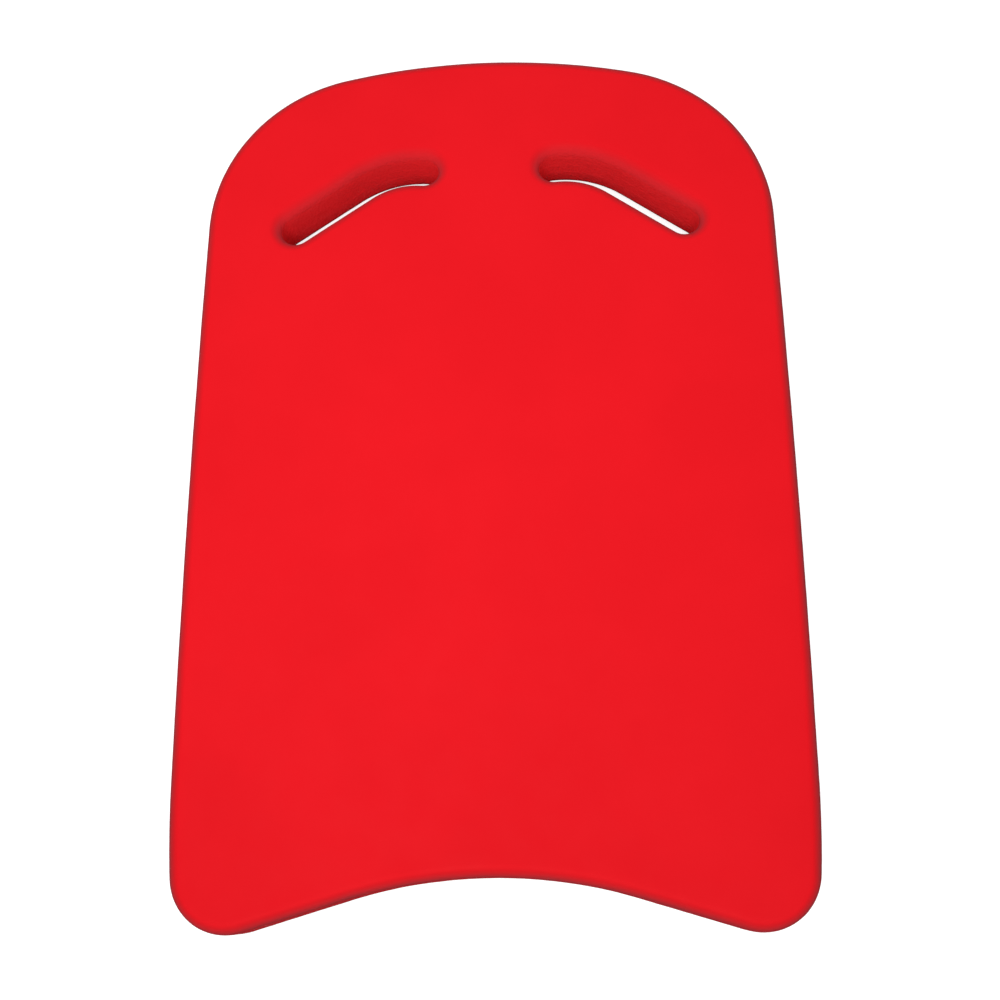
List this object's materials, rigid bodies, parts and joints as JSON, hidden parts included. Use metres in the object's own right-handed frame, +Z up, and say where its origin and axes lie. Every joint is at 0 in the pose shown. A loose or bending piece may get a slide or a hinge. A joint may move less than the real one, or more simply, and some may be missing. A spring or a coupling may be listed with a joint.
{
  "type": "swim kickboard",
  "caption": "Flat closed-cell foam swim board with a rounded nose, two curved hand slots near it, slightly flared sides and a concave tail.",
  "frame": {"origin": "centre of the bounding box's underside: the middle of the board's bottom face", "axes": "+Z up out of the deck, +Y along the board to the nose, +X to the right side seen from above with the nose away"},
  "size_m": [0.3, 0.45, 0.034],
  "materials": {
    "foam_skin": "smooth skin of red closed-cell foam, faint fine cells, low satin sheen",
    "foam_core": "cut red closed-cell foam, open cut cells, matte"
  },
  "bodies": {
    "root": {"bottom_skin": "foam_skin", "lower_core_sheet": "foam_core", "middle_core_sheet": "foam_core", "upper_core_sheet": "foam_core", "deck_skin": "foam_skin"}
  },
  "joints": []
}
